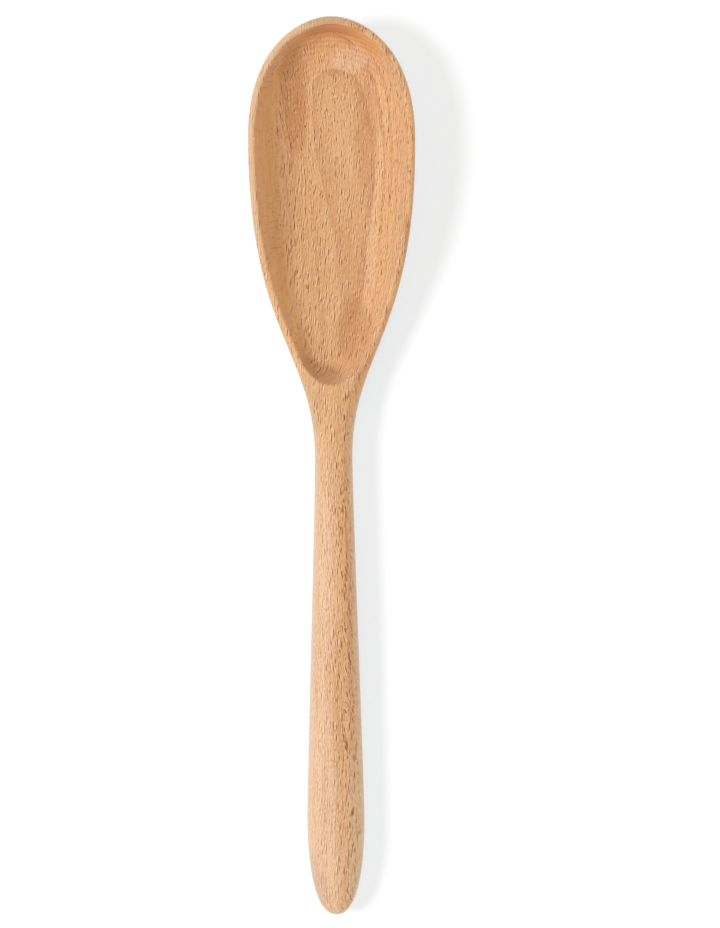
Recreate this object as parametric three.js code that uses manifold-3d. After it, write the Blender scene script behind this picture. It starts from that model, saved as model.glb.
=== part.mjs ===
// Deep kitchen spoon: bowl, neck and handle shaped from one length of beech.
// Millimetres. With the spoon lying on a table, +Y points to the bowl's tip, +X to the right
// and +Z up out of the hollow. The origin is on the table, under the middle of the spoon.
// A "run" is a distance measured back from the bowl's tip, along the spoon.
import * as THREE from 'three';
import { mergeVertices } from 'three/addons/utils/BufferGeometryUtils.js';
import Module from 'manifold-3d';

const wasm = await Module();
wasm.setup();

// Outline seen from above
const LENGTH = 305;
const BOWL_WIDTH = 56.7;
const BOWL_WIDEST_RUN = 41.5;
const NECK_WIDTH = 12.8;
const NECK_RUN = 149.5;
const GRIP_WIDTH = 19.5;
const GRIP_TO_END = 32.8;

// Heights above the table, seen from the side: the edge is the widest line of each section
const BOWL_EDGE_HEIGHT = 21.2;
const NECK_CENTRE_HEIGHT = 9.4;
const NECK_THICKNESS = 10.8;
const GRIP_THICKNESS = 15.2;
const RIM_CROWN = 2.6;
const TIP_ROUNDING = 3.2;
const FOOT_RUN = 46;
const FOOT_LENGTH = 20;
const FOOT_SANDING = 0.4;

// Hollow of the bowl
const RIM_WIDTH = 2.7;
const TIP_RIM_WIDTH = 3;
const RIM_SOFTENING = 0.8;
const HOLLOW_END_RUN = 124;
const HOLLOW_END_ROUNDING = 8;
const TIP_WALL_RUN = 16;
const END_WALL_RUN = 8;
const FLOOR_LOW_RUN = 70;
const FLOOR_HEIGHT = 8.4;
const TIP_FLOOR_HEIGHT = 13.6;
const END_FLOOR_HEIGHT = 8;

// How steep the hollow's wall is at its edge, as rise over run: at the tip, along the sides, which
// start and end at these shares of the way from the tip to the neck end, and at that end
const TIP_WALL_SLOPE = 6;
const SIDE_WALL_SLOPE = 2.3;
const END_WALL_SLOPE = 2.2;
const SIDE_WALL_START = 0.2;
const SIDE_WALL_END = 0.75;

// How full the curves are: 2 is an ellipse, and more is squarer
const RIM_FULLNESS = 3.6;
const BOWL_BACK_FULLNESS = 2.3;
const HANDLE_FULLNESS = 2.15;
const HOLLOW_END_FULLNESS = 2.2;

// How far each cubic stretch keeps its first and last direction, as a share of its own span
const TIP_PLAN = { start: 0.294, end: 0.81 };
const TAPER_PLAN = { start: 0.62, end: 0.337 };
const GRIP_PLAN = { start: 0.12, end: 0.094 };
const END_PLAN = { start: 0.3, end: 0.9 };
const EDGE_SWEEP = { start: 0.42, end: 0.55 };
const TIP_BACK = { start: 0.72, end: 0.75 };
const EVEN_SWEEP = { start: 0.45, end: 0.45 };
const ROUND = { start: 0.55, end: 0.55 };

// Facets
const TIP_STATIONS = 15;
const TAPER_STATIONS = 24;
const HANDLE_STATIONS = 17;
const END_STATIONS = 12;
const SECTION_SIDES = 48;
const HOLLOW_STATIONS = 34;
const HOLLOW_RINGS = 11;
const BISECTIONS = 40;

const WOOD = { color: 0xdba87a, roughness: 0.55, metalness: 0 };

const lerp = THREE.MathUtils.lerp;
const gripRun = LENGTH - GRIP_TO_END;
const gripCentreHeight = GRIP_THICKNESS / 2;

// A stretch that is level where it starts and where it ends.
function levelStretch(from, to, lead) {
  const span = to[0] - from[0];
  return new THREE.CubicBezierCurve(
    new THREE.Vector2(...from),
    new THREE.Vector2(from[0] + span * lead.start, from[1]),
    new THREE.Vector2(to[0] - span * lead.end, to[1]),
    new THREE.Vector2(...to),
  );
}

// A stretch that leaves its start upright and is level where it ends, as at the tip.
function openingStretch(from, to, lead) {
  return new THREE.CubicBezierCurve(
    new THREE.Vector2(...from),
    new THREE.Vector2(from[0], lerp(from[1], to[1], lead.start)),
    new THREE.Vector2(lerp(to[0], from[0], lead.end), to[1]),
    new THREE.Vector2(...to),
  );
}

// A stretch that starts level and is upright where it ends, as at the end of the handle.
function closingStretch(from, to, lead) {
  return new THREE.CubicBezierCurve(
    new THREE.Vector2(...from),
    new THREE.Vector2(lerp(from[0], to[0], lead.start), from[1]),
    new THREE.Vector2(to[0], lerp(to[1], from[1], lead.end)),
    new THREE.Vector2(...to),
  );
}

// Finds the share between 0 and 1 at which a rising function reaches a value.
function shareWhere(rising, value) {
  let low = 0;
  let high = 1;
  for (let step = 0; step < BISECTIONS; step += 1) {
    const middle = (low + high) / 2;
    if (rising(middle) < value) {
      low = middle;
    } else {
      high = middle;
    }
  }
  return (low + high) / 2;
}

// Reads a line of cubic stretches at one run.
function readLine(line, run) {
  const stretch = line.find((curve) => run <= curve.v3.x) ?? line.at(-1);
  const share = shareWhere((t) => stretch.getPoint(t).x, run);
  return stretch.getPoint(share).y;
}

// Half of the outline seen from above.
const planLine = [
  openingStretch([0, 0], [BOWL_WIDEST_RUN, BOWL_WIDTH / 2], TIP_PLAN),
  levelStretch([BOWL_WIDEST_RUN, BOWL_WIDTH / 2], [NECK_RUN, NECK_WIDTH / 2], TAPER_PLAN),
  levelStretch([NECK_RUN, NECK_WIDTH / 2], [gripRun, GRIP_WIDTH / 2], GRIP_PLAN),
  closingStretch([gripRun, GRIP_WIDTH / 2], [LENGTH, 0], END_PLAN),
];

// Height of the widest line: level round the bowl, then sweeping down to the neck.
const edgeLine = [
  levelStretch([0, BOWL_EDGE_HEIGHT], [BOWL_WIDEST_RUN, BOWL_EDGE_HEIGHT], EVEN_SWEEP),
  levelStretch([BOWL_WIDEST_RUN, BOWL_EDGE_HEIGHT], [NECK_RUN, NECK_CENTRE_HEIGHT], EDGE_SWEEP),
  levelStretch([NECK_RUN, NECK_CENTRE_HEIGHT], [gripRun, gripCentreHeight], EVEN_SWEEP),
  levelStretch([gripRun, gripCentreHeight], [LENGTH, gripCentreHeight], EVEN_SWEEP),
];

// How far the top stands above that line.
const crownLine = [
  openingStretch([0, 0], [TIP_ROUNDING, RIM_CROWN], ROUND),
  levelStretch([TIP_ROUNDING, RIM_CROWN], [BOWL_WIDEST_RUN, RIM_CROWN], EVEN_SWEEP),
  levelStretch([BOWL_WIDEST_RUN, RIM_CROWN], [NECK_RUN, NECK_THICKNESS / 2], EVEN_SWEEP),
  levelStretch([NECK_RUN, NECK_THICKNESS / 2], [gripRun, GRIP_THICKNESS / 2], EVEN_SWEEP),
  closingStretch([gripRun, GRIP_THICKNESS / 2], [LENGTH, 0], END_PLAN),
];

// Height of the underside along the middle, before the foot is sanded flat.
const footEndRun = FOOT_RUN + FOOT_LENGTH;
const neckUnderside = NECK_CENTRE_HEIGHT - NECK_THICKNESS / 2;
const undersideLine = [
  openingStretch([0, BOWL_EDGE_HEIGHT], [FOOT_RUN, -FOOT_SANDING], TIP_BACK),
  levelStretch([FOOT_RUN, -FOOT_SANDING], [footEndRun, -FOOT_SANDING], EVEN_SWEEP),
  levelStretch([footEndRun, -FOOT_SANDING], [NECK_RUN, neckUnderside], EVEN_SWEEP),
  levelStretch([NECK_RUN, neckUnderside], [gripRun, 0], EVEN_SWEEP),
  closingStretch([gripRun, 0], [LENGTH, gripCentreHeight], END_PLAN),
];

// Fullness of the section's upper and lower halves, from the bowl into the handle.
function fullnessLine(inBowl) {
  return [
    levelStretch([0, inBowl], [BOWL_WIDEST_RUN, inBowl], EVEN_SWEEP),
    levelStretch([BOWL_WIDEST_RUN, inBowl], [NECK_RUN, HANDLE_FULLNESS], EVEN_SWEEP),
    levelStretch([NECK_RUN, HANDLE_FULLNESS], [LENGTH, HANDLE_FULLNESS], EVEN_SWEEP),
  ];
}
const upperFullness = fullnessLine(RIM_FULLNESS);
const lowerFullness = fullnessLine(BOWL_BACK_FULLNESS);

// The cross-section of the uncut blank at one run.
function sectionAt(run) {
  const edge = readLine(edgeLine, run);
  return {
    halfWidth: readLine(planLine, run),
    edge,
    crown: readLine(crownLine, run),
    depth: edge - readLine(undersideLine, run),
    upper: readLine(upperFullness, run),
    lower: readLine(lowerFullness, run),
  };
}

// Height of the blank's top at a run and a distance from the middle.
function topAt(run, across) {
  const section = sectionAt(run);
  const share = Math.min(Math.abs(across) / section.halfWidth, 1);
  return section.edge + section.crown * (1 - share ** section.upper) ** (1 / section.upper);
}

// A power that keeps the sign, for superellipse sections.
function signedPower(value, power) {
  return Math.sign(value) * Math.abs(value) ** power;
}

// One closed ring of the blank, from the right edge over the top and back underneath.
function blankRing(run) {
  const section = sectionAt(run);
  const ring = [];
  for (let side = 0; side < SECTION_SIDES; side += 1) {
    const angle = (2 * Math.PI * side) / SECTION_SIDES;
    const above = Math.sin(angle) >= 0;
    const power = 2 / (above ? section.upper : section.lower);
    const reach = above ? section.crown : section.depth;
    const x = section.halfWidth * signedPower(Math.cos(angle), power);
    const z = section.edge + reach * signedPower(Math.sin(angle), power);
    ring.push([x, LENGTH / 2 - run, z]);
  }
  return ring;
}

// Runs of the rings: close together where the tip and the handle's end turn round.
function blankRuns() {
  const runs = [];
  for (let step = 1; step <= TIP_STATIONS; step += 1) {
    runs.push(BOWL_WIDEST_RUN * (1 - Math.cos((Math.PI / 2) * (step / TIP_STATIONS))));
  }
  for (let step = 1; step <= TAPER_STATIONS; step += 1) {
    runs.push(lerp(BOWL_WIDEST_RUN, NECK_RUN, step / TAPER_STATIONS));
  }
  for (let step = 1; step <= HANDLE_STATIONS; step += 1) {
    runs.push(lerp(NECK_RUN, gripRun, step / HANDLE_STATIONS));
  }
  for (let step = 1; step < END_STATIONS; step += 1) {
    runs.push(gripRun + GRIP_TO_END * Math.sin((Math.PI / 2) * (step / END_STATIONS)));
  }
  return runs;
}

// A closed solid from a list of corners and the triangles between them.
function solid(positions, triangles) {
  const geometry = new THREE.BufferGeometry();
  geometry.setAttribute('position', new THREE.Float32BufferAttribute(positions.flat(), 3));
  geometry.setIndex(triangles);
  return solidOf(geometry);
}

// A closed solid from any geometry: corners merged by place, collapsed triangles left out.
function solidOf(geometry) {
  geometry.deleteAttribute('normal');
  geometry.deleteAttribute('uv');
  const merged = mergeVertices(geometry);
  const index = merged.index.array;
  const kept = [];
  for (let at = 0; at < index.length; at += 3) {
    const [a, b, c] = index.slice(at, at + 3);
    if (a !== b && b !== c && c !== a) {
      kept.push(a, b, c);
    }
  }
  return new wasm.Manifold(new wasm.Mesh({
    numProp: 3,
    vertProperties: merged.attributes.position.array,
    triVerts: Uint32Array.from(kept),
  }));
}

// Two triangles between neighbouring corners of two rings, facing out.
function joinRings(triangles, first, second, corner, next) {
  triangles.push(first + corner, first + next, second + next);
  triangles.push(first + corner, second + next, second + corner);
}

// The blank: a loft through all the rings, closed to a point at the tip and at the end.
function blank() {
  const rings = blankRuns().map(blankRing);
  const tip = [0, LENGTH / 2, BOWL_EDGE_HEIGHT];
  const end = [0, -LENGTH / 2, gripCentreHeight];
  const positions = [...rings.flat(), tip, end];
  const tipCorner = positions.length - 2;
  const endCorner = positions.length - 1;
  const lastRing = (rings.length - 1) * SECTION_SIDES;
  const triangles = [];
  for (let corner = 0; corner < SECTION_SIDES; corner += 1) {
    const next = (corner + 1) % SECTION_SIDES;
    triangles.push(tipCorner, next, corner);
    for (let first = 0; first < lastRing; first += SECTION_SIDES) {
      joinRings(triangles, first, first + SECTION_SIDES, corner, next);
    }
    triangles.push(endCorner, lastRing + corner, lastRing + next);
  }
  return solid(positions, triangles);
}

// A point of the hollow's edge: the outline set in by the rim, which is wider at the tip.
function hollowEdgePoint(share) {
  const stretches = planLine.slice(0, 2);
  const scaled = share * stretches.length;
  const stretch = stretches[Math.min(Math.floor(scaled), stretches.length - 1)];
  const t = scaled - stretches.indexOf(stretch);
  const point = stretch.getPoint(t);
  const along = stretch.getTangent(t);
  const inward = new THREE.Vector2(along.y, -along.x);
  const rim = lerp(RIM_WIDTH, TIP_RIM_WIDTH, inward.x ** 2);
  return point.addScaledVector(inward, rim);
}

// Half-width of the hollow at a run, rounded off where it ends at the neck.
function hollowHalfWidth(run) {
  const share = shareWhere((t) => hollowEdgePoint(t).x, run);
  const halfWidth = Math.max(hollowEdgePoint(share).y, 0);
  const roundingStart = HOLLOW_END_RUN - HOLLOW_END_ROUNDING;
  const into = THREE.MathUtils.clamp((run - roundingStart) / HOLLOW_END_ROUNDING, 0, 1);
  return halfWidth * (1 - into ** HOLLOW_END_FULLNESS) ** (1 / HOLLOW_END_FULLNESS);
}

// The hollow's edge as a closed loop of [run, across]: down the right side and back up the left.
function hollowEdge() {
  const right = [];
  for (let step = 0; step <= HOLLOW_STATIONS; step += 1) {
    const share = (1 - Math.cos((Math.PI * step) / HOLLOW_STATIONS)) / 2;
    const run = lerp(TIP_RIM_WIDTH, HOLLOW_END_RUN, share);
    const onMiddle = step === 0 || step === HOLLOW_STATIONS;
    right.push([run, onMiddle ? 0 : hollowHalfWidth(run)]);
  }
  const left = right.slice(1, -1).reverse();
  return [...right, ...left.map(([run, across]) => [run, -across])];
}

// The floor's height along the bowl, lowest in the middle.
const floorLine = [
  levelStretch([0, TIP_FLOOR_HEIGHT], [FLOOR_LOW_RUN, FLOOR_HEIGHT], EVEN_SWEEP),
  levelStretch([FLOOR_LOW_RUN, FLOOR_HEIGHT], [HOLLOW_END_RUN, END_FLOOR_HEIGHT], EVEN_SWEEP),
];

// The wall's slope at its edge, by share of the way from the tip to the neck end.
const slopeLine = [
  levelStretch([0, TIP_WALL_SLOPE], [SIDE_WALL_START, SIDE_WALL_SLOPE], EVEN_SWEEP),
  levelStretch([SIDE_WALL_START, SIDE_WALL_SLOPE], [SIDE_WALL_END, SIDE_WALL_SLOPE], EVEN_SWEEP),
  levelStretch([SIDE_WALL_END, SIDE_WALL_SLOPE], [1, END_WALL_SLOPE], EVEN_SWEEP),
];

// One column of the hollow, from well above the rim over its softened edge down to the floor.
function hollowColumn(edge, at) {
  const [run, across] = edge[at];
  const [nextRun, nextAcross] = edge[(at + 1) % edge.length];
  const [lastRun, lastAcross] = edge[(at + edge.length - 1) % edge.length];
  const outward = new THREE.Vector2(lastAcross - nextAcross, nextRun - lastRun).normalize();
  const flare = 2 * RIM_SOFTENING;
  const flareRun = run + outward.x * flare;
  const flareAcross = across + outward.y * flare;
  const rimTop = topAt(run, across);
  const wallTop = rimTop - RIM_SOFTENING;
  const clearTop = BOWL_EDGE_HEIGHT + NECK_CENTRE_HEIGHT + NECK_THICKNESS;
  const edgeShare = (run - TIP_RIM_WIDTH) / (HOLLOW_END_RUN - TIP_RIM_WIDTH);
  const floorTipRun = TIP_RIM_WIDTH + TIP_WALL_RUN;
  const floorEndRun = HOLLOW_END_RUN - END_WALL_RUN;
  const floorRun = lerp(floorTipRun, floorEndRun, edgeShare);
  const wallHeight = wallTop - readLine(floorLine, run);
  const wallReach = Math.hypot(run - floorRun, across);
  const wallPower = (readLine(slopeLine, edgeShare) * wallReach) / wallHeight;
  const column = [
    [flareAcross, LENGTH / 2 - flareRun, clearTop],
    [flareAcross, LENGTH / 2 - flareRun, rimTop + RIM_SOFTENING],
  ];
  for (let ring = 0; ring <= HOLLOW_RINGS; ring += 1) {
    const out = ring === HOLLOW_RINGS ? 0 : Math.cos((Math.PI / 2) * (ring / HOLLOW_RINGS));
    const ringRun = lerp(floorRun, run, out);
    const floor = readLine(floorLine, ringRun);
    column.push([across * out, LENGTH / 2 - ringRun, floor + wallHeight * out ** wallPower]);
  }
  return column;
}

// The hollow: nested loops that shrink from the rim to the line along the floor.
function hollow() {
  const edge = hollowEdge();
  const columns = edge.map((_, at) => hollowColumn(edge, at));
  const loops = columns[0].map((_, ring) => columns.map((column) => column[ring]));
  const corners = edge.length;
  const triangles = [];
  for (let corner = 0; corner < corners; corner += 1) {
    const next = (corner + 1) % corners;
    for (let ring = 0; ring + 1 < loops.length; ring += 1) {
      joinRings(triangles, ring * corners, (ring + 1) * corners, corner, next);
    }
  }
  for (let right = 0; right < HOLLOW_STATIONS; right += 1) {
    const left = (corners - right) % corners;
    const nextLeft = corners - right - 1;
    triangles.push(left, nextLeft, right + 1);
    triangles.push(left, right + 1, right);
  }
  return solid(loops.flat(), triangles);
}

// Everything above the table: what it cuts off leaves the flat foot under the bowl.
function aboveTable() {
  const height = 2 * (BOWL_EDGE_HEIGHT + GRIP_THICKNESS);
  const room = new THREE.BoxGeometry(2 * BOWL_WIDTH, 2 * LENGTH, height);
  room.translate(0, 0, height / 2);
  return solidOf(room);
}

// The finished spoon: the blank, hollowed and sanded flat underneath.
function spoonGeometry() {
  const carved = blank().subtract(hollow()).intersect(aboveTable()).getMesh();
  const geometry = new THREE.BufferGeometry();
  geometry.setAttribute('position', new THREE.Float32BufferAttribute(carved.vertProperties, 3));
  geometry.setIndex(Array.from(carved.triVerts));
  geometry.computeVertexNormals();
  return geometry;
}

const spoon = new THREE.Mesh(spoonGeometry(), new THREE.MeshStandardMaterial(WOOD));
spoon.name = 'spoon';

const deepSpoon = new THREE.Group();
deepSpoon.add(spoon);

export default deepSpoon;
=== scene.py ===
import math

import bmesh
import bpy
import numpy as np
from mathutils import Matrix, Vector
from mathutils.geometry import interpolate_bezier


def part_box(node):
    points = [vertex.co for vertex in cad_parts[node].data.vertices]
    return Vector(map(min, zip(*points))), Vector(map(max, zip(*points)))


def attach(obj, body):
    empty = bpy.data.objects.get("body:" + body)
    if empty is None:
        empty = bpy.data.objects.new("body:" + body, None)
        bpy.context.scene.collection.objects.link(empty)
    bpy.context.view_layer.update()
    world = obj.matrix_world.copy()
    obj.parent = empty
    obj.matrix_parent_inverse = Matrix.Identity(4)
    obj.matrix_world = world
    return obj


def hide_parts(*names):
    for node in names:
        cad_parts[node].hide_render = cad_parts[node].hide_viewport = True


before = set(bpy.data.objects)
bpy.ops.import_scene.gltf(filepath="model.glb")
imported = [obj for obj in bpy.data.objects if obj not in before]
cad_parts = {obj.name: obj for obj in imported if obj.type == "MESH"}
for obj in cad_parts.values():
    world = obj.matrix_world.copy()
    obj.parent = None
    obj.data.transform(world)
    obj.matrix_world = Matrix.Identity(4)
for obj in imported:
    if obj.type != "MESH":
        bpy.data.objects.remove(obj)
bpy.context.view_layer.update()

# Spoon blank: one straight length of beech, turned and shaped to the outline of bowl, neck and handle.
# Every cross-section is an oval, flat-topped along the bowl, where the rim will be, and round from the
# neck to the end of the handle. A run is a distance measured back from the bowl's tip.
MM = 0.001
cad_low, cad_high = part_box("spoon")
LENGTH = cad_high.y - cad_low.y
BOWL_HALF_WIDTH = cad_high.x
BOWL_WIDEST_RUN = 41.5 * MM
NECK_HALF_WIDTH = 6.4 * MM
NECK_RUN = 149.5 * MM
GRIP_HALF_WIDTH = 9.75 * MM
GRIP_RUN = LENGTH - 32.8 * MM
BOWL_EDGE_HEIGHT = 21.2 * MM
RIM_CROWN = 2.6 * MM
TIP_ROUNDING = 3.2 * MM
NECK_HEIGHT = 9.4 * MM
NECK_HALF_THICKNESS = 5.4 * MM
GRIP_HALF_THICKNESS = 7.6 * MM
FOOT_RUN = 46 * MM
FOOT_END_RUN = 66 * MM
FOOT_SANDING = 0.4 * MM
RIM_FULLNESS = 3.6
BACK_FULLNESS = 2.3
HANDLE_FULLNESS = 2.15
EVEN = (0.45, 0.45)
ROUNDED_END = (0.3, 0.9)
BOWL_END_LEADS = (0.294, 0.81)
SHOULDER_LEADS = (0.62, 0.337)
HANDLE_LEADS = (0.12, 0.094)
EDGE_FALL_LEADS = (0.42, 0.55)
TIP_CROWN_LEADS = (0.55, 0.55)
BACK_LEADS = (0.72, 0.75)
CURVE_POINTS = 400
SECTION_SIDES = 96
RING_SPACING = 1.8 * MM
MERGE_DISTANCE = 0.001 * MM


def level(start, end, leads):
    """A cubic stretch that leaves its start level and arrives level."""
    span = end[0] - start[0]
    return start, (start[0] + span * leads[0], start[1]), (end[0] - span * leads[1], end[1]), end


def opening(start, end, leads):
    """A cubic stretch that leaves its start upright, as at a rounded tip, and arrives level."""
    rise = start[1] + (end[1] - start[1]) * leads[0]
    return start, (start[0], rise), (end[0] + (start[0] - end[0]) * leads[1], end[1]), end


def closing(start, end, leads):
    """A cubic stretch that leaves its start level and arrives upright, as at a rounded end."""
    fall = end[1] + (start[1] - end[1]) * leads[1]
    return start, (start[0] + (end[0] - start[0]) * leads[0], start[1]), (end[0], fall), end


def drawn(*stretches):
    """Points along a line of cubic stretches, as an array of runs and an array of values."""
    points = []
    for knots in stretches:
        points += interpolate_bezier(*(Vector((*knot, 0)) for knot in knots), CURVE_POINTS)
    return np.array(points)[:, :2].T


def read_line(*stretches):
    """A function that reads a drawn line at any run."""
    runs, values = drawn(*stretches)
    return lambda run: np.interp(run, runs, values)


def fullness_line(in_bowl):
    """How square the sections are, from the bowl into the handle: 2 is an ellipse, and more is squarer."""
    return read_line(
        level((0, in_bowl), (BOWL_WIDEST_RUN, in_bowl), EVEN),
        level((BOWL_WIDEST_RUN, in_bowl), (NECK_RUN, HANDLE_FULLNESS), EVEN),
    )


bowl_outline = (
    opening((0, 0), (BOWL_WIDEST_RUN, BOWL_HALF_WIDTH), BOWL_END_LEADS),
    level((BOWL_WIDEST_RUN, BOWL_HALF_WIDTH), (NECK_RUN, NECK_HALF_WIDTH), SHOULDER_LEADS),
)
half_width = read_line(
    *bowl_outline,
    level((NECK_RUN, NECK_HALF_WIDTH), (GRIP_RUN, GRIP_HALF_WIDTH), HANDLE_LEADS),
    closing((GRIP_RUN, GRIP_HALF_WIDTH), (LENGTH, 0), ROUNDED_END),
)
edge_height = read_line(
    level((0, BOWL_EDGE_HEIGHT), (BOWL_WIDEST_RUN, BOWL_EDGE_HEIGHT), EVEN),
    level((BOWL_WIDEST_RUN, BOWL_EDGE_HEIGHT), (NECK_RUN, NECK_HEIGHT), EDGE_FALL_LEADS),
    level((NECK_RUN, NECK_HEIGHT), (GRIP_RUN, GRIP_HALF_THICKNESS), EVEN),
)
crown = read_line(
    opening((0, 0), (TIP_ROUNDING, RIM_CROWN), TIP_CROWN_LEADS),
    level((TIP_ROUNDING, RIM_CROWN), (BOWL_WIDEST_RUN, RIM_CROWN), EVEN),
    level((BOWL_WIDEST_RUN, RIM_CROWN), (NECK_RUN, NECK_HALF_THICKNESS), EVEN),
    level((NECK_RUN, NECK_HALF_THICKNESS), (GRIP_RUN, GRIP_HALF_THICKNESS), EVEN),
    closing((GRIP_RUN, GRIP_HALF_THICKNESS), (LENGTH, 0), ROUNDED_END),
)
underside = read_line(
    opening((0, BOWL_EDGE_HEIGHT), (FOOT_RUN, -FOOT_SANDING), BACK_LEADS),
    level((FOOT_RUN, -FOOT_SANDING), (FOOT_END_RUN, -FOOT_SANDING), EVEN),
    level((FOOT_END_RUN, -FOOT_SANDING), (NECK_RUN, NECK_HEIGHT - NECK_HALF_THICKNESS), EVEN),
    level((NECK_RUN, NECK_HEIGHT - NECK_HALF_THICKNESS), (GRIP_RUN, 0), EVEN),
    closing((GRIP_RUN, 0), (LENGTH, GRIP_HALF_THICKNESS), ROUNDED_END),
)
upper_fullness = fullness_line(RIM_FULLNESS)
lower_fullness = fullness_line(BACK_FULLNESS)


def signed_power(value, power):
    """A power that keeps the sign, for superellipses."""
    return math.copysign(abs(value) ** power, value)


def blank_point(run, angle):
    """A point on the blank's skin: angle 0 is the right edge, and a quarter turn is the top."""
    above = math.sin(angle) > 0
    power = 2 / (upper_fullness(run) if above else lower_fullness(run))
    reach = crown(run) if above else edge_height(run) - underside(run)
    across = half_width(run) * signed_power(math.cos(angle), power)
    height = edge_height(run) + reach * signed_power(math.sin(angle), power)
    return Vector((across, LENGTH / 2 - run, height))


def blank_top(run, across):
    """Height of the blank's top at a run and a distance from the middle."""
    share = min(abs(across) / half_width(run), 1)
    fullness = upper_fullness(run)
    return edge_height(run) + crown(run) * (1 - share**fullness) ** (1 / fullness)


def start_mesh(name):
    """An empty mesh object at the origin, open in edit mode."""
    bpy.ops.object.select_all(action="DESELECT")
    bpy.ops.object.add(type="MESH", location=(0, 0, 0))
    piece = bpy.context.object
    piece.name = name
    bpy.ops.object.mode_set(mode="EDIT")
    return piece


def add_ring(corners, place):
    """Adds a circle to the mesh in hand and moves each corner where place puts its angle."""
    bpy.ops.mesh.select_all(action="DESELECT")
    bpy.ops.mesh.primitive_circle_add(vertices=corners, radius=1, location=(0, 0, 0))
    mesh = bpy.context.edit_object.data
    shape = bmesh.from_edit_mesh(mesh)
    for corner in [corner for corner in shape.verts if corner.select]:
        corner.co = place(math.atan2(corner.co.y, corner.co.x))
    bmesh.update_edit_mesh(mesh)


def close_rings():
    """Bridges the rings in hand from one to the next, caps both ends and turns the faces outwards."""
    bpy.ops.mesh.select_all(action="SELECT")
    bpy.ops.mesh.bridge_edge_loops()
    bpy.ops.mesh.select_all(action="DESELECT")
    bpy.ops.mesh.select_non_manifold()
    bpy.ops.mesh.fill_holes(sides=0)
    bpy.ops.mesh.select_all(action="SELECT")
    bpy.ops.mesh.remove_doubles(threshold=MERGE_DISTANCE)
    bpy.ops.mesh.normals_make_consistent(inside=False)
    bpy.ops.object.mode_set(mode="OBJECT")


spoon = start_mesh("spoon_beech")
blank_rings = round(LENGTH / RING_SPACING)
for ring in range(1, blank_rings):
    turn = math.pi * ring / blank_rings
    even_run = LENGTH * ring / blank_rings
    gathered_run = LENGTH * (1 - math.cos(turn)) / 2
    run = gathered_run + (even_run - gathered_run) * math.sin(turn)
    add_ring(SECTION_SIDES, lambda angle: blank_point(run, angle))
close_rings()

# Hollow of the bowl: routed out of the blank, leaving a thin wall with a narrow rim all round.
# The wall goes down steeply and turns into a long, almost level floor. The hollow ends in a rounded
# end short of the neck.
RIM_WIDTH = 2.7 * MM
TIP_RIM_WIDTH = 3 * MM
RIM_SOFTENING = 0.8 * MM
RIM_FLARE = 2 * RIM_SOFTENING
HOLLOW_END_RUN = 124 * MM
HOLLOW_END_ROUNDING = 8 * MM
HOLLOW_END_FULLNESS = 2.2
TIP_WALL_SLOPE = 6.0
WALL_SLOPE = 2.3
END_WALL_SLOPE = 2.2
TIP_WALL_SHARE = 0.2
END_WALL_SHARE = 0.75
FLOOR_TIP_RUN = TIP_RIM_WIDTH + 16 * MM
FLOOR_END_RUN = HOLLOW_END_RUN - 8 * MM
FLOOR_HEIGHT = 8.4 * MM
FLOOR_TIP_HEIGHT = 13.6 * MM
FLOOR_END_HEIGHT = 8 * MM
FLOOR_LOW_RUN = 70 * MM
HOLLOW_SIDES = 128
HOLLOW_RINGS = 28
SMALLEST_STEP = 1e-12

floor_height = read_line(
    level((0, FLOOR_TIP_HEIGHT), (FLOOR_LOW_RUN, FLOOR_HEIGHT), EVEN),
    level((FLOOR_LOW_RUN, FLOOR_HEIGHT), (HOLLOW_END_RUN, FLOOR_END_HEIGHT), EVEN),
)
wall_slope = read_line(
    level((0, TIP_WALL_SLOPE), (TIP_WALL_SHARE, WALL_SLOPE), EVEN),
    level((TIP_WALL_SHARE, WALL_SLOPE), (END_WALL_SHARE, WALL_SLOPE), EVEN),
    level((END_WALL_SHARE, WALL_SLOPE), (1, END_WALL_SLOPE), EVEN),
)


def rim_line():
    """The bowl's outline set in by the width of the rim, as runs and distances from the middle."""
    runs, across = drawn(*bowl_outline)
    along = np.array((np.gradient(runs), np.gradient(across)))
    along /= np.maximum(np.hypot(*along), SMALLEST_STEP)
    width = RIM_WIDTH + (TIP_RIM_WIDTH - RIM_WIDTH) * along[1] ** 2
    return runs + along[1] * width, np.maximum(across - along[0] * width, 0)


rim_runs, rim_across = rim_line()


def hollow_half_width(run):
    """Half the hollow's width at the rim, rounded off where it ends at the neck."""
    into = np.clip((run - HOLLOW_END_RUN + HOLLOW_END_ROUNDING) / HOLLOW_END_ROUNDING, 0, 1)
    rounding = (1 - into**HOLLOW_END_FULLNESS) ** (1 / HOLLOW_END_FULLNESS)
    return np.interp(run, rim_runs, rim_across) * rounding


def rim_point(angle):
    """The hollow's edge at a turn from the tip, as a run and a distance from the middle."""
    run = TIP_RIM_WIDTH + (HOLLOW_END_RUN - TIP_RIM_WIDTH) * (1 - math.cos(angle)) / 2
    return np.array((run, math.copysign(hollow_half_width(run), math.sin(angle))))


def flare_point(angle, height):
    """A point outside the hollow's edge, that much above the rim, for the softened edge."""
    nudge = math.pi / HOLLOW_SIDES
    along = rim_point(angle + nudge) - rim_point(angle - nudge)
    outward = np.array((-along[1], along[0])) / np.hypot(*along)
    run, across = rim_point(angle) + outward * RIM_FLARE
    return Vector((across, LENGTH / 2 - run, blank_top(*rim_point(angle)) + height))


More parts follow.
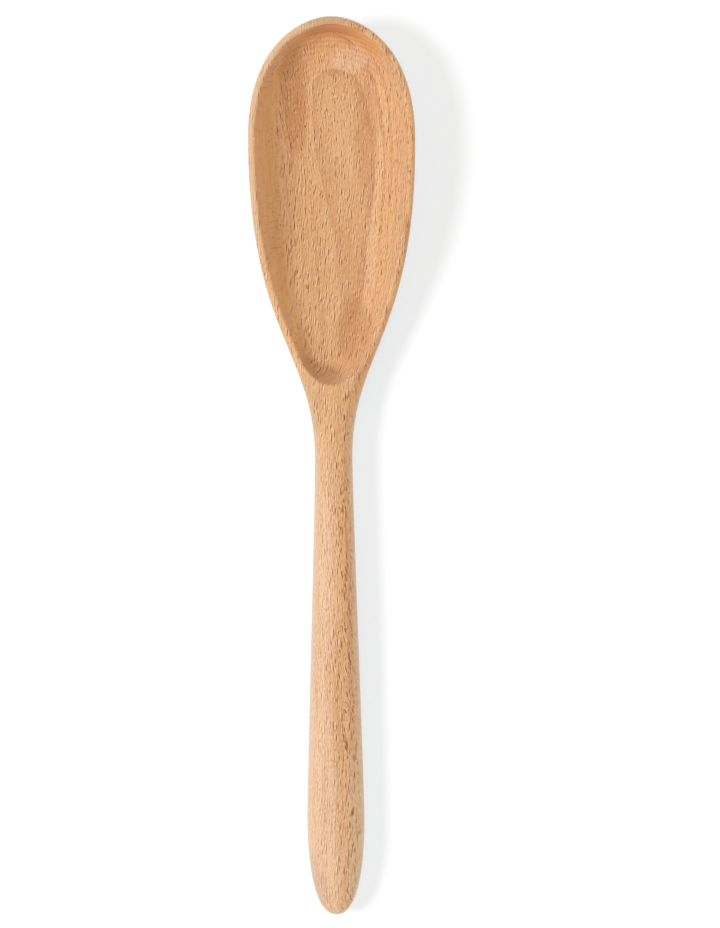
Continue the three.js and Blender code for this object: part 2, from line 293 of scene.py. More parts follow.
def hollow_point(angle, out):
    """A point of the hollow's skin: out is 1 at the rim and 0 along the middle of the floor."""
    run, across = rim_point(angle)
    share = (run - TIP_RIM_WIDTH) / (HOLLOW_END_RUN - TIP_RIM_WIDTH)
    floor_run = FLOOR_TIP_RUN + (FLOOR_END_RUN - FLOOR_TIP_RUN) * share
    depth = blank_top(run, across) - RIM_SOFTENING - floor_height(run)
    reach = math.hypot(run - floor_run, across)
    rise = depth * out ** (wall_slope(share) * reach / depth)
    run = floor_run + (run - floor_run) * out
    return Vector((across * out, LENGTH / 2 - run, floor_height(run) + rise))


router = start_mesh("router")
add_ring(HOLLOW_SIDES, lambda angle: flare_point(angle, BOWL_EDGE_HEIGHT))
add_ring(HOLLOW_SIDES, lambda angle: flare_point(angle, RIM_SOFTENING))
for ring in range(HOLLOW_RINGS + 1):
    add_ring(HOLLOW_SIDES, lambda angle: hollow_point(angle, math.cos(math.pi / 2 * ring / HOLLOW_RINGS)))
close_rings()

bpy.ops.object.select_all(action="DESELECT")
bpy.context.view_layer.objects.active = spoon
spoon.select_set(True)
bpy.ops.object.modifier_add(type="BOOLEAN")
hollowing = spoon.modifiers[-1]
hollowing.operation = "DIFFERENCE"
hollowing.solver = "EXACT"
hollowing.object = router
bpy.ops.object.modifier_apply(modifier=hollowing.name)
bpy.data.objects.remove(router)

# Sanding: the back of the bowl is rubbed flat where it rests, and the whole spoon is sanded smooth,
# which rounds over the rim and the hollow's edge by about half a millimetre.
SANDING_GRAIN = 0.58 * MM
SANDING_PASSES = 8
SANDING_PRESSURE = 0.5

bpy.ops.object.mode_set(mode="EDIT")
bpy.ops.mesh.select_all(action="SELECT")
bpy.ops.mesh.bisect(plane_co=(0, 0, 0), plane_no=(0, 0, 1), clear_inner=True, use_fill=True)
bpy.ops.object.mode_set(mode="OBJECT")
bpy.ops.object.modifier_add(type="REMESH")
gritting = spoon.modifiers[-1]
gritting.mode = "VOXEL"
gritting.voxel_size = SANDING_GRAIN
bpy.ops.object.modifier_apply(modifier=gritting.name)
bpy.ops.object.modifier_add(type="SMOOTH")
sanding = spoon.modifiers[-1]
sanding.factor = SANDING_PRESSURE
sanding.iterations = SANDING_PASSES
bpy.ops.object.modifier_apply(modifier=sanding.name)
bpy.ops.object.shade_smooth()
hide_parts("spoon")
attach(spoon, "root")

# Oiled beech: the pattern runs through the wood as it does in the tree. Rings of growth lie round a pith
# below the spoon, and thin rays stand out from it like the pages of a book, which show as short dark
# flecks where the surface cuts across them and fade out where it lies along them.


def srgb(red, green, blue):
    """A colour as written for the screen, made linear for a shader."""
    return tuple(
        value / 12.92 if value <= 0.04045 else ((value + 0.055) / 1.055) ** 2.4
        for value in (red / 255, green / 255, blue / 255)
    ) + (1,)


# Colours of the wood, of what is laid over it, and of painted light and shade
BEECH = srgb(231, 178, 124)
DEEPER_BEECH = srgb(225, 171, 117)
DARKER_YEAR = srgb(206, 150, 100)
EARLY_WOOD = srgb(232, 183, 138)
LATE_WOOD = srgb(192, 130, 78)
STAINED_WOOD = srgb(192, 129, 74)
PAINTED_HIGHLIGHT_WOOD = srgb(242, 200, 163)
PAINTED_LIGHT_WALL = srgb(248, 192, 130)
PALE_HANDLE_AND_SHEEN = srgb(235, 194, 161)
GOLDEN_WOOD = srgb(208, 154, 104)
STREAKED_WOOD = srgb(190, 134, 86)
PAINTED_SHEEN_WOOD = srgb(224, 192, 158)
GRIP_PAINTED_LIGHT = srgb(226, 192, 150)
FIBRE_BROWN = srgb(166, 100, 34)
FIBRE_PALE = srgb(250, 216, 180)
RAY_BROWN = srgb(142, 74, 0)
BOLD_RAY_BROWN = srgb(116, 60, 10)
RAY_HALO = srgb(252, 214, 172)
FLAKE_BROWN = srgb(146, 88, 38)
LAYER_BROWN = srgb(186, 118, 60)
OIL_TINT = srgb(230, 188, 112)
TIP_WALL_OIL_AND_SHADE_TINT = srgb(255, 232, 140)
TIP_EDGE_TINT = srgb(238, 239, 248)
PAINTED_SHADE_TINT = srgb(238, 240, 242)
RAY_FACE_TINT = srgb(251, 244, 222)
TORN_AND_SHADE_TINT = srgb(226, 208, 194)

# Grain sizes in millimetres: sideways, along the wood and upwards, some of them leaning with the rays
RIPPLE_GRAIN = (4.0, 7.0, 4.0)
FIBRE_GRAIN = (0.28, 1.3, 0.6)
STREAK_GRAIN = (0.9, 30.0, 0.9)
PATCH_GRAIN = (14.0, 60.0, 14.0)
BEND_GRAIN = (18.0, 30.0, 18.0)
FRAY_GRAIN = (0.8, 5.0, 0.8)
RING_PATCH_GRAIN = (14.0, 30.0, 14.0)
FLAKE_GRAIN = (2.0, 0.7, 2.2)
GOLDEN_GRAIN = (3.0, 110.0, 3.0)

# Rays: how they lean and scatter, and for each size its spacing, in the same order, and its measures in
# millimetres. Share is the part of the places that hold a ray. Halos are counted in half widths of a ray.
RAY_LEAN = math.radians(-25)
RAY_STAGGER = 1.5
RAY_SCATTER = 0.75
RAY_WIDENING = 0.2
RAY_LENGTHS = (0.6, 1.4)
RAY_WIDTHS = (0.7, 1.3)
RAY_FULL_CHANCE = 0.85
RAY_EDGE = (-0.1, 0.35)
HALO_EDGE = (0.0, 0.7)
HALO_MIDDLE = 2.7
HALO_BREADTH = 1.3
BOLD_SPACING = (2.4, 6.5, 7.0)
BOLD_HALF_WIDTH = 0.15
BOLD_HALF_LENGTH = 2.2
BOLD_SHARE = 0.7
BROAD_SPACING = (0.95, 3.3, 9.0)
BROAD_HALF_WIDTH = 0.12
BROAD_HALF_LENGTHS = (1.55, 1.1)
BROAD_SHORTENING = (70.0, 130.0)
BROAD_SHARE = 0.95
SMALL_SPACING = (0.7, 2.2, 8.0)
SMALL_HALF_WIDTH = 0.09
SMALL_HALF_LENGTH = 0.85
SMALL_SHARE = 0.8
SMALL_STRENGTH = 0.7
SMALL_SHIFT = (37.3, 37.3, 37.3)

# Soft patches fade in between these two squared shares of their reach.
PATCH_EDGE = (1.3, 0.2)


def place_node(tree, kind, values=None, **settings):
    """Adds a node, sets its properties, and fills or links its inputs."""
    node = tree.nodes.new(kind)
    for name, value in settings.items():
        setattr(node, name, value)
    for socket, value in (values or {}).items():
        if isinstance(value, bpy.types.NodeSocket):
            tree.links.new(value, node.inputs[socket])
        else:
            node.inputs[socket].default_value = value
    return node


def calc(tree, operation, *values):
    """The result of one Math node."""
    return place_node(tree, "ShaderNodeMath", dict(enumerate(values)), operation=operation).outputs[0]


def vector_calc(tree, operation, *values):
    """The result of one Vector Math node."""
    return place_node(tree, "ShaderNodeVectorMath", dict(enumerate(values)), operation=operation).outputs[0]


def product(tree, *factors):
    """Several values multiplied together."""
    result = factors[0]
    for factor in factors[1:]:
        result = calc(tree, "MULTIPLY", result, factor)
    return result


def less(tree, value, share):
    """1 where a value is 0, and that share less where it is 1."""
    return calc(tree, "MULTIPLY_ADD", value, -share, 1.0)


def most(tree, *values):
    """The largest of several values."""
    result = values[0]
    for value in values[1:]:
        result = calc(tree, "MAXIMUM", result, value)
    return result


def distance(tree, aside, along):
    """How long a line is that goes so far aside and so far along."""
    return calc(tree, "SQRT", calc(tree, "ADD", product(tree, aside, aside), product(tree, along, along)))


def ramp(tree, value, low, high, to_low=0.0, to_high=1.0):
    """A value eased from one range into another, and kept inside it."""
    values = {"Value": value, "From Min": low, "From Max": high, "To Min": to_low, "To Max": to_high}
    node = place_node(tree, "ShaderNodeMapRange", values, interpolation_type="SMOOTHSTEP")
    return node.outputs[0]


def tint(tree, under, over, show, strength=1.0, blend="MIX"):
    """One colour laid over another where it shows."""
    values = {0: calc(tree, "MULTIPLY", show, strength), 6: under, 7: over}
    node = place_node(tree, "ShaderNodeMix", values, data_type="RGBA", blend_type=blend)
    return node.outputs[2]


def turned(tree, vector, direction):
    """How far a vector reaches along a direction."""
    node = place_node(tree, "ShaderNodeVectorMath", {0: vector, 1: direction}, operation="DOT_PRODUCT")
    return node.outputs["Value"]


def grain_noise(tree, spot, sizes, detail=1.0):
    """Noise with its own grain size in millimetres on each axis."""
    shares = tuple(1 / size for size in sizes)
    values = {"Vector": vector_calc(tree, "MULTIPLY", spot, shares), "Scale": 1.0, "Detail": detail}
    return place_node(tree, "ShaderNodeTexNoise", values).outputs[0]


def blotch(tree, x, y, middle_x, middle_y, reach_x, reach_y):
    """A soft oval patch, seen from above, in millimetres."""
    aside = calc(tree, "DIVIDE", calc(tree, "SUBTRACT", x, middle_x), reach_x)
    along = calc(tree, "DIVIDE", calc(tree, "SUBTRACT", y, middle_y), reach_y)
    out = calc(tree, "ADD", product(tree, aside, aside), product(tree, along, along))
    return ramp(tree, out, *PATCH_EDGE)


def build_ray_group():
    """Rays as thin spindles scattered through the wood, each with its own size and strength.
    Halo is the paler wood beside each ray."""
    group = bpy.data.node_groups.new("beech_rays", "ShaderNodeTree")
    for name in ("Spot", "Spacing"):
        group.interface.new_socket(name, in_out="INPUT", socket_type="NodeSocketVector")
    for name in ("Half Width", "Half Length", "Share"):
        group.interface.new_socket(name, in_out="INPUT", socket_type="NodeSocketFloat")
    for name in ("Ray", "Halo"):
        group.interface.new_socket(name, in_out="OUTPUT", socket_type="NodeSocketFloat")
    given = group.nodes.new("NodeGroupInput").outputs
    spot = vector_calc(group, "DIVIDE", given["Spot"], given["Spacing"])
    scattered = {"Vector": spot, "Scale": 1.0, "Randomness": RAY_SCATTER}
    cells = place_node(group, "ShaderNodeTexVoronoi", scattered).outputs
    offset = vector_calc(group, "SUBTRACT", spot, cells["Position"])
    offset = vector_calc(group, "MULTIPLY", offset, given["Spacing"])
    across, along, _ = place_node(group, "ShaderNodeSeparateXYZ", {0: offset}).outputs
    chance = place_node(group, "ShaderNodeSeparateColor", {0: cells["Color"]}).outputs
    half_length = product(group, given["Half Length"], ramp(group, chance[0], 0.0, 1.0, *RAY_LENGTHS))
    half_width = product(group, given["Half Width"], ramp(group, chance[1], 0.0, 1.0, *RAY_WIDTHS))
    reach = calc(group, "DIVIDE", along, half_length)
    taper = calc(group, "SUBTRACT", 1.0, product(group, reach, reach))
    aside = calc(group, "ABSOLUTE", across)
    breadth = calc(group, "DIVIDE", aside, half_width)
    beside = calc(group, "SUBTRACT", aside, product(group, half_width, HALO_MIDDLE))
    beside = calc(group, "ABSOLUTE", beside)
    beside = calc(group, "DIVIDE", beside, product(group, half_width, HALO_BREADTH))
    dropped = calc(group, "SUBTRACT", 1.0, given["Share"])
    strength = ramp(group, chance[2], dropped, RAY_FULL_CHANCE)
    ray = ramp(group, calc(group, "SUBTRACT", taper, breadth), *RAY_EDGE)
    halo = ramp(group, calc(group, "SUBTRACT", taper, beside), *HALO_EDGE)
    shown = {"Ray": product(group, ray, strength), "Halo": product(group, halo, strength)}
    place_node(group, "NodeGroupOutput", shown)
    return group


def rays(tree, spot, spacing, half_width, half_length, share):
    """The ray group placed in a material with its own sizes."""
    values = {"Spot": spot, "Spacing": spacing, "Share": share}
    values |= {"Half Width": half_width, "Half Length": half_length}
    return place_node(tree, "ShaderNodeGroup", values, node_tree=ray_group).outputs


ray_group = build_ray_group()
beech = bpy.data.materials.new("oiled_beech")
beech.use_nodes = True
wood = beech.node_tree
skin = wood.nodes["Principled BSDF"]
place = place_node(wood, "ShaderNodeTexCoord").outputs
facing = place["Normal"]
facing_right, facing_tip, facing_up = place_node(wood, "ShaderNodeSeparateXYZ", {0: facing}).outputs
in_mm = vector_calc(wood, "MULTIPLY", place["Object"], (1 / MM, 1 / MM, 1 / MM))
x, y, z = place_node(wood, "ShaderNodeSeparateXYZ", {0: in_mm}).outputs

# Parts of the spoon: stretches along it are in millimetres from its middle, towards the tip.
INTO_HANDLE = (30.0, -5.0)
on_handle = ramp(wood, y, *INTO_HANDLE)
in_bowl = calc(wood, "SUBTRACT", 1.0, on_handle)
on_right_wall = ramp(wood, facing_right, -0.2, -0.6)
turned_right = ramp(wood, facing_right, 0.1, 0.3)
climbing_to_tip = ramp(wood, facing_tip, -0.02, -0.12)

# The place in the wood: across the rays, along the grain, which wanders a little, and out along the rays.
WANDER = 2.2
WANDER_START = 50.0
WANDER_LENGTH = 32.0
RIPPLE = 1.1
across_rays = (math.cos(RAY_LEAN), 0, -math.sin(RAY_LEAN))
along_rays = (math.sin(RAY_LEAN), 0, math.cos(RAY_LEAN))
wander = calc(wood, "DIVIDE", calc(wood, "SUBTRACT", y, WANDER_START), WANDER_LENGTH)
wander = product(wood, calc(wood, "SINE", wander), WANDER)
across = calc(wood, "SUBTRACT", turned(wood, in_mm, across_rays), wander)
across = calc(wood, "MULTIPLY_ADD", grain_noise(wood, in_mm, RIPPLE_GRAIN), RIPPLE, across)
out = turned(wood, in_mm, along_rays)
spot = place_node(wood, "ShaderNodeCombineXYZ", {0: across, 1: y, 2: out}).outputs[0]
staggered = calc(wood, "MULTIPLY_ADD", across, RAY_STAGGER, y)
ray_spot = place_node(wood, "ShaderNodeCombineXYZ", {0: across, 1: staggered, 2: out}).outputs[0]
fibre = grain_noise(wood, spot, FIBRE_GRAIN)
streak = grain_noise(wood, spot, STREAK_GRAIN, detail=2.0)
patch = grain_noise(wood, spot, PATCH_GRAIN, detail=2.0)

# Where the surface cuts across the rays they are sharp flecks. They fade out where it lies along them and
# on end grain, which the grain's dip towards the tip shifts a little.
GRAIN_DIP = math.radians(10)
END_GRAIN_STRETCH = (45.0, 90.0)
RAY_FACE_STRETCH = (0.0, 35.0)
dipped_grain = (0, math.cos(GRAIN_DIP), -math.sin(GRAIN_DIP))
into_grain = calc(wood, "ABSOLUTE", turned(wood, facing, dipped_grain))
end_grain = product(wood, ramp(wood, into_grain, 0.3, 0.85), ramp(wood, y, *END_GRAIN_STRETCH, 0.3, 1.0))
flat_to_rays = ramp(wood, calc(wood, "ABSOLUTE", turned(wood, facing, across_rays)), 0.72, 0.97)
along_face = product(wood, flat_to_rays, ramp(wood, y, *RAY_FACE_STRETCH, 0.25, 1.0))
cut_across = product(wood, less(wood, along_face, 0.85), less(wood, end_grain, 0.7))

# Three sizes of ray: bold ones on the right of the handle and on faces turned to the right, and broad and
# small ones all over, wider on the bowl's right wall and on the handle and shorter towards the tip.
bold = rays(wood, ray_spot, BOLD_SPACING, BOLD_HALF_WIDTH, BOLD_HALF_LENGTH, BOLD_SHARE)
bold_here = most(wood, product(wood, on_handle, ramp(wood, x, 0.0, 4.0)), turned_right)
bold_here = product(wood, bold_here, less(wood, flat_to_rays, 0.85))
widened = calc(wood, "MULTIPLY_ADD", most(wood, on_right_wall, on_handle), RAY_WIDENING, 1.0)
broad_width = product(wood, widened, BROAD_HALF_WIDTH)
broad_length = ramp(wood, y, *BROAD_SHORTENING, *BROAD_HALF_LENGTHS)
broad = rays(wood, ray_spot, BROAD_SPACING, broad_width, broad_length, BROAD_SHARE)
small_spot = vector_calc(wood, "ADD", ray_spot, SMALL_SHIFT)
small_width = product(wood, widened, SMALL_HALF_WIDTH)
small = rays(wood, small_spot, SMALL_SPACING, small_width, SMALL_HALF_LENGTH, SMALL_SHARE)
dark_rays = most(wood, broad["Ray"], product(wood, small["Ray"], SMALL_STRENGTH))
pale_sides = most(wood, broad["Halo"], product(wood, small["Halo"], SMALL_STRENGTH))

# Growth rings: each year begins pale and ends in a dark line. The pith wanders under the bowl and runs
# straight under the handle.
PITH_X = 7.2
PITH_TIP_X = 0.8
PITH_X_STRETCH = (85.0, 145.0)
PITH_Z = -10.8
PITH_TIP_Z = -5.6
PITH_Z_STRETCH = (68.0, 130.0)
PITH_NECK_DIP = 1.2
PITH_NECK_STRETCH = (40.0, 70.0)
PITH_TIP_DIP = 2.2
PITH_TIP_STRETCH = (129.5, 139.5)
RING_WIDTH = 3.2
RING_START = 0.75
RING_WAVER = 0.35
YEAR_STEP = 2.4
pith_x = ramp(wood, y, *PITH_X_STRETCH, PITH_X, PITH_TIP_X)
pith_z = ramp(wood, y, *PITH_Z_STRETCH, PITH_Z, PITH_TIP_Z)
pith_z = calc(wood, "ADD", pith_z, ramp(wood, y, *PITH_NECK_STRETCH, -PITH_NECK_DIP, 0.0))
pith_z = calc(wood, "ADD", pith_z, ramp(wood, y, *PITH_TIP_STRETCH, 0.0, -PITH_TIP_DIP))
from_pith = distance(wood, calc(wood, "SUBTRACT", x, pith_x), calc(wood, "SUBTRACT", z, pith_z))
bent = calc(wood, "SUBTRACT", grain_noise(wood, in_mm, BEND_GRAIN), 0.5)
frayed = calc(wood, "SUBTRACT", grain_noise(wood, spot, FRAY_GRAIN), 0.5)
from_pith = calc(wood, "MULTIPLY_ADD", calc(wood, "ADD", frayed, bent), RING_WAVER, from_pith)
year = calc(wood, "ADD", calc(wood, "DIVIDE", from_pith, RING_WIDTH), RING_START)
year_tone = ramp(wood, calc(wood, "SINE", product(wood, calc(wood, "FLOOR", year), YEAR_STEP)), -1.0, 1.0)
season = calc(wood, "FRACT", year)
early = ramp(wood, season, 0.35, 0.0)
late = product(wood, ramp(wood, season, 0.5, 0.95), ramp(wood, season, 1.0, 0.96))

# The rings show most on level faces and by the tip, come and go in patches, and are quieter on the left.
RING_STRETCH = (50.0, 105.0)
ring_patch = grain_noise(wood, in_mm, RING_PATCH_GRAIN)
ring_show = ramp(wood, calc(wood, "ABSOLUTE", facing_up), 0.45, 0.88, 0.35, 1.0)
ring_show = product(wood, ring_show, ramp(wood, ring_patch, 0.35, 0.62, 0.5, 1.0))
ring_show = product(wood, ring_show, ramp(wood, y, *RING_STRETCH, 0.6, 1.0))
ring_show = product(wood, ring_show, ramp(wood, x, -8.0, 2.0, 0.4, 1.0))

# Oil soaks deeper into the end grain at the tip and leaves it darker and more orange. On the steep wall
# inside it is darker and more orange still, partly oil and partly painted shade and bounce light of the
# hollow. The very edge of the tip is a little cooler.
OIL_STRETCH = (110.0, 140.0)
TIP_WALL_STRETCH = (137.0, 143.0)
TIP_EDGE_STRETCH = (148.5, 150.5)
soaked = product(wood, ramp(wood, into_grain, 0.8, 0.99), ramp(wood, y, *OIL_STRETCH))
soaked = product(wood, soaked, ramp(wood, facing_tip, 0.5, -0.1, 0.3, 1.0))
tip_wall_oil_and_shade = product(wood, ramp(wood, facing_up, 0.75, 0.3, 0.1, 1.0), ramp(wood, y, *TIP_WALL_STRETCH))
tip_wall_oil_and_shade = product(wood, tip_wall_oil_and_shade, climbing_to_tip, ramp(wood, x, -14.0, -4.0, 0.4, 1.0))
on_tip_edge = ramp(wood, y, *TIP_EDGE_STRETCH)

# Thin layers of each year come up one after another, in arcs, where the floor climbs to the tip.
LAYER_WIDTH = 1.8
LAYER_MIDDLE_Y = 116.0
LAYER_RISE = 0.35
LAYER_WAVER = 3.0
LAYER_STRETCH = (128.0, 138.0)
arc = distance(wood, x, calc(wood, "SUBTRACT", y, LAYER_MIDDLE_Y))
arc = calc(wood, "MULTIPLY_ADD", z, LAYER_RISE, arc)
arc = calc(wood, "ADD", arc, calc(wood, "MULTIPLY_ADD", bent, LAYER_WAVER, frayed))
layer = calc(wood, "FRACT", calc(wood, "DIVIDE", arc, LAYER_WIDTH))
layer = product(wood, ramp(wood, layer, 0.3, 0.9), ramp(wood, layer, 1.0, 0.9))
layer = product(wood, layer, ramp(wood, y, *LAYER_STRETCH), climbing_to_tip)

# Darker stains beside both walls and on the floor towards the neck, a painted highlight as a paler patch
# right of the tip, and painted shade on the left of the neck and of the handle's end. Each is its middle
# and its reach, x then y.
LEFT_STAIN = (-12.6, 124.0, 5.2, 21.0)
NECK_STAIN = (7.4, 45.5, 7.2, 12.5)
RIGHT_STAIN = (11.8, 110.0, 4.5, 24.0)
TIP_PAINTED_HIGHLIGHT = (6.5, 138.2, 6.5, 5.4)
NECK_PAINTED_SHADE = (-8.5, 21.0, 5.5, 14.0)
END_PAINTED_SHADE = (-8.0, -143.0, 6.0, 14.0)
neck_stain = product(wood, blotch(wood, x, y, *NECK_STAIN), 0.9)
right_stain = product(wood, blotch(wood, x, y, *RIGHT_STAIN), 0.55)
stain = most(wood, blotch(wood, x, y, *LEFT_STAIN), neck_stain, right_stain)
stain = product(wood, stain, ramp(wood, patch, 0.25, 0.6, 0.7, 1.0))
painted_highlight = blotch(wood, x, y, *TIP_PAINTED_HIGHLIGHT)
painted_shade = most(wood, blotch(wood, x, y, *NECK_PAINTED_SHADE), blotch(wood, x, y, *END_PAINTED_SHADE))

# Flakes: on the left wall, which lies along the rays, a few of them show as small dark arcs.
flake = ramp(wood, grain_noise(wood, spot, FLAKE_GRAIN, detail=0.0), 0.6, 0.74)
flake = product(wood, flake, along_face, ramp(wood, ring_patch, 0.4, 0.55))

# Painted sheen: the rim on the left, which faces the lamp, the sides of the handle and the right of the
# grip are painted paler where light and sheen fall on them.
RIM_HEIGHTS = (17.5, 20.5)
SIDES_STRETCH = (50.0, 15.0)
GRIP_STRETCH = (-70.0, -115.0)
rim_painted_sheen = product(wood, ramp(wood, z, *RIM_HEIGHTS), ramp(wood, facing_right, 0.5, 0.1))
rim_painted_sheen = product(wood, rim_painted_sheen, ramp(wood, x, 2.0, -9.0))
sides_painted_sheen = ramp(wood, calc(wood, "ABSOLUTE", facing_right), 0.5, 0.95)
sides_painted_sheen = product(wood, sides_painted_sheen, ramp(wood, y, *SIDES_STRETCH))
grip_painted_light = product(wood, ramp(wood, y, *GRIP_STRETCH), ramp(wood, x, 2.0, 5.5))

# Paler, pinker along the left of the handle, which faces the lamp: partly paler wood and partly painted
# sheen. Golden streaks, mostly on its right.
PALE_STRETCH = (20.0, -20.0)
PALE_WAVER = 8.0
PALE_WIDENING = 4.0
PALE_END_STRETCH = (-90.0, -130.0)
pale_and_sheen_edge = calc(wood, "MULTIPLY_ADD", patch, PALE_WAVER, x)
pale_and_sheen_edge = calc(wood, "ADD", pale_and_sheen_edge, ramp(wood, y, *PALE_END_STRETCH, 0.0, -PALE_WIDENING))
pale_and_sheen = product(wood, ramp(wood, y, *PALE_STRETCH), ramp(wood, pale_and_sheen_edge, 7.0, 0.5))
golden = ramp(wood, grain_noise(wood, spot, GOLDEN_GRAIN), 0.45, 0.7)
golden = product(wood, golden, on_handle, ramp(wood, x, -6.0, 1.0, 0.3, 1.0))

# The short wall at the neck end is cut against the grain, and painted shade, where the left wall's shadow
# falls, makes it darker towards the left.
NECK_WALL_STRETCH = (45.0, 38.0)
torn_and_painted_shade = product(wood, ramp(wood, y, *NECK_WALL_STRETCH), ramp(wood, facing_tip, 0.1, 0.45))
torn_and_painted_shade = product(wood, torn_and_painted_shade, ramp(wood, x, 6.0, -1.0))

# What shows of the fibres and rays: less on the sides of the handle, on its paler left with painted sheen
# and where the wood is stained.
off_sides = less(wood, sides_painted_sheen, 0.8)
fibre_show = product(wood, cut_across, ramp(wood, y, *INTO_HANDLE, 0.33, 0.5))
dark_fibres = product(wood, fibre_show, ramp(wood, fibre, 0.5, 0.2))
pale_fibres = product(wood, fibre_show, ramp(wood, fibre, 0.5, 0.8))
halo_show = calc(wood, "MULTIPLY_ADD", most(wood, stain, turned_right), -0.4, 0.75)
ray_show = product(wood, less(wood, pale_and_sheen, 0.4), off_sides)
bold_show = product(wood, bold_here, off_sides, ramp(wood, into_grain, 0.7, 0.35))

# The colour, from the plain wood up to what has happened to its surface, with painted light and shade among
# the layers.
colour = tint(wood, BEECH, DEEPER_BEECH, ramp(wood, patch, 0.35, 0.65))
colour = tint(wood, colour, DARKER_YEAR, year_tone, 0.18)
colour = tint(wood, colour, EARLY_WOOD, product(wood, early, ring_show), 0.6)
colour = tint(wood, colour, LATE_WOOD, product(wood, late, ring_show), 0.95)
colour = tint(wood, colour, STAINED_WOOD, stain, 0.8)
# A painted highlight: the paler patch right of the tip.
colour = tint(wood, colour, PAINTED_HIGHLIGHT_WOOD, painted_highlight, 0.75)
# Painted light: the bowl's right wall, turned to the lamp, is painted brighter.
colour = tint(wood, colour, PAINTED_LIGHT_WALL, product(wood, on_right_wall, in_bowl), 0.3)
# Paler along the left of the handle: partly paler wood, partly painted sheen.
colour = tint(wood, colour, PALE_HANDLE_AND_SHEEN, pale_and_sheen, 0.85)
colour = tint(wood, colour, GOLDEN_WOOD, golden, 0.5)
colour = tint(wood, colour, STREAKED_WOOD, ramp(wood, streak, 0.35, 0.75), 0.3)
# Painted sheen on the sides of the handle.
colour = tint(wood, colour, PAINTED_SHEEN_WOOD, sides_painted_sheen, 0.56)
# Painted light on the right of the grip.
colour = tint(wood, colour, GRIP_PAINTED_LIGHT, grip_painted_light, 0.55)
colour = tint(wood, colour, FIBRE_BROWN, dark_fibres)
colour = tint(wood, colour, FIBRE_PALE, pale_fibres)
colour = tint(wood, colour, RAY_HALO, product(wood, pale_sides, cut_across, halo_show))
colour = tint(wood, colour, RAY_BROWN, product(wood, dark_rays, cut_across, ray_show))
colour = tint(wood, colour, BOLD_RAY_BROWN, product(wood, bold["Ray"], bold_show), 0.85)
colour = tint(wood, colour, FLAKE_BROWN, flake, 0.4)
colour = tint(wood, colour, LAYER_BROWN, layer, 0.35)
# Painted sheen on the left rim, which faces the lamp.
colour = tint(wood, colour, PAINTED_SHEEN_WOOD, rim_painted_sheen, 0.42)
colour = tint(wood, colour, OIL_TINT, soaked, 0.8, "MULTIPLY")
# Deeper orange on the steep tip wall: partly oil, partly painted shade and bounce light.
colour = tint(wood, colour, TIP_WALL_OIL_AND_SHADE_TINT, tip_wall_oil_and_shade, 1.0, "MULTIPLY")
colour = tint(wood, colour, TIP_EDGE_TINT, on_tip_edge, 1.0, "MULTIPLY")
# Painted shade on the left of the neck and of the handle's end.
colour = tint(wood, colour, PAINTED_SHADE_TINT, painted_shade, 0.75, "MULTIPLY")
colour = tint(wood, colour, RAY_FACE_TINT, along_face, 1.0, "MULTIPLY")
# End grain and painted shade of the left wall's shadow on the neck-end wall.
colour = tint(wood, colour, TORN_AND_SHADE_TINT, torn_and_painted_shade, 0.8, "MULTIPLY")

# The finish: a thin coat of oil with a soft sheen, a little rougher along the streaks, over open grain.
ROUGHNESS = (0.48, 0.58)
SPECULAR = 0.3
SHEEN = 0.45
RAY_DEPTH = 0.8
BUMP_STRENGTH = 0.25
BUMP_DEPTH = 0.1 * MM
wood.links.new(colour, skin.inputs["Base Color"])
wood.links.new(ramp(wood, streak, 0.3, 0.8, *ROUGHNESS), skin.inputs["Roughness"])
skin.inputs["Specular IOR Level"].default_value = SPECULAR
skin.inputs["Sheen Weight"].default_value = SHEEN
height = calc(wood, "SUBTRACT", fibre, product(wood, dark_rays, RAY_DEPTH))
relief = {"Strength": BUMP_STRENGTH, "Distance": BUMP_DEPTH, "Height": height}
bump = place_node(wood, "ShaderNodeBump", relief)
wood.links.new(bump.outputs[0], skin.inputs["Normal"])
spoon.data.materials.clear()
spoon.data.materials.append(beech)

# Studio: a white table under a soft lamp from the left, seen from straight above through a long lens.
# The table looks white to the camera and still takes the spoon's shadow.
TABLE_SIZE = 6.0
TABLE_DROP = 0.08 * MM
TABLE_WHITE = 0.85
TABLE_GLOW = 0.176
SPOON_REACH = 0.3
SKY_SAMPLES = 8
SKY_FILL = (0.28, 0.45, 0.54)
CONTACT_SHADE = (0.8, 0.5)
SKY_STRENGTH = 0.78
LAMP_DIRECTION = Vector((-19.7, -1.4, 23.0))
LAMP_SPREAD = math.radians(17)
LAMP_STRENGTH = 1.05
CAMERA_HEIGHT = 2.2
CAMERA_SPOT = (8.94 * MM, 0.86 * MM)
CAMERA_ROLL = math.radians(-0.355)
SENSOR_HEIGHT = 36.0
LENS = 249.9


def seen_rays(tree):
    """1 for a ray that shows the surface, directly or in a reflection, and 0 for one that only lights."""
    path = place_node(tree, "ShaderNodeLightPath").outputs
    return most(tree, path["Is Camera Ray"], path["Is Glossy Ray"], path["Is Transmission Ray"])


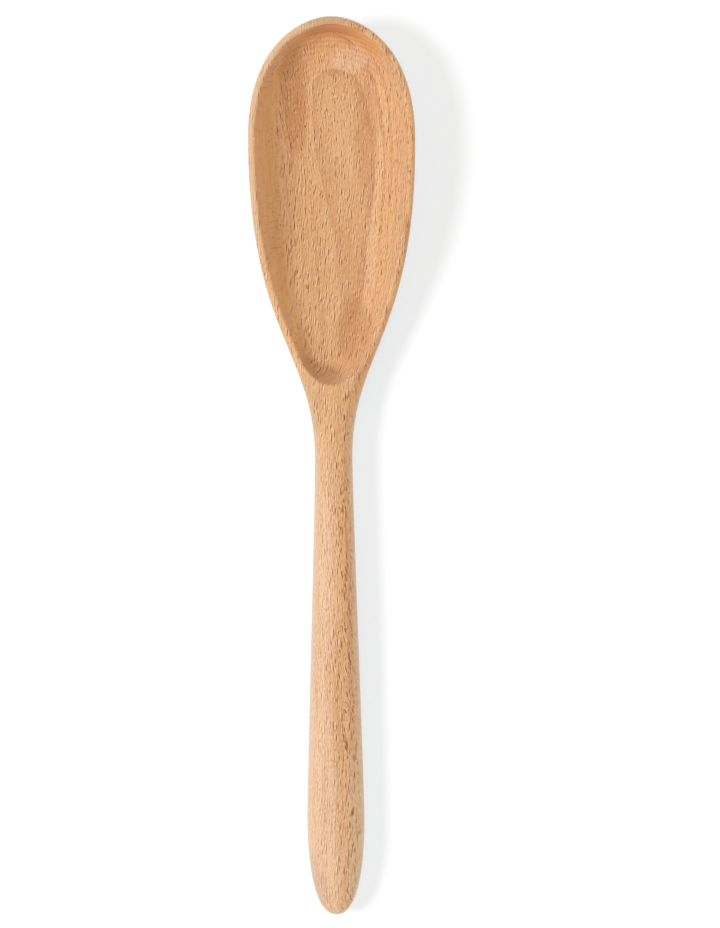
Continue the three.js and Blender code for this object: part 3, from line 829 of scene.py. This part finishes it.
bpy.ops.object.select_all(action="DESELECT")
bpy.ops.mesh.primitive_plane_add(size=TABLE_SIZE, location=(0, 0, -TABLE_DROP))
table = bpy.context.object
table.name = "table"
white = bpy.data.materials.new("white_table")
white.use_nodes = True
paint = white.node_tree
paint.nodes.clear()
matt = place_node(paint, "ShaderNodeBsdfDiffuse", {"Color": (TABLE_WHITE, TABLE_WHITE, TABLE_WHITE, 1)})

# The glow shows only to the eye and in reflections. It evens out the shade and the warm tint that the spoon
# throws around itself, and it fades out close under the spoon.
open_sky = place_node(paint, "ShaderNodeAmbientOcclusion", {"Distance": SPOON_REACH}, samples=SKY_SAMPLES)
hidden_sky = calc(paint, "SUBTRACT", 1.0, open_sky.outputs["AO"])
hidden_sky = product(paint, hidden_sky, ramp(paint, hidden_sky, *CONTACT_SHADE))
fill = vector_calc(paint, "MULTIPLY_ADD", hidden_sky, SKY_FILL, (TABLE_GLOW, TABLE_GLOW, TABLE_GLOW))
glow = place_node(paint, "ShaderNodeEmission", {"Color": fill, "Strength": seen_rays(paint)})
lit = place_node(paint, "ShaderNodeAddShader", {0: matt.outputs[0], 1: glow.outputs[0]})
place_node(paint, "ShaderNodeOutputMaterial", {"Surface": lit.outputs[0]})
table.data.materials.append(white)

bpy.ops.object.light_add(type="SUN", location=LAMP_DIRECTION.normalized())
lamp = bpy.context.object
lamp.rotation_euler = LAMP_DIRECTION.to_track_quat("Z", "Y").to_euler()
lamp.data.angle = LAMP_SPREAD
lamp.data.energy = LAMP_STRENGTH

world = bpy.data.worlds.new("studio")
world.use_nodes = True
bpy.context.scene.world = world
sky = world.node_tree
strength = calc(sky, "MULTIPLY_ADD", seen_rays(sky), 1 - SKY_STRENGTH, SKY_STRENGTH)
sky.nodes["Background"].inputs["Color"].default_value = (1, 1, 1, 1)
sky.links.new(strength, sky.nodes["Background"].inputs["Strength"])

bpy.ops.object.camera_add(location=(*CAMERA_SPOT, CAMERA_HEIGHT), rotation=(0, 0, CAMERA_ROLL))
camera = bpy.context.object
camera.data.sensor_fit = "VERTICAL"
camera.data.sensor_height = SENSOR_HEIGHT
camera.data.lens = LENS
camera.data.clip_end = 2 * TABLE_SIZE
bpy.context.scene.camera = camera
bpy.context.scene.view_settings.view_transform = "Standard"
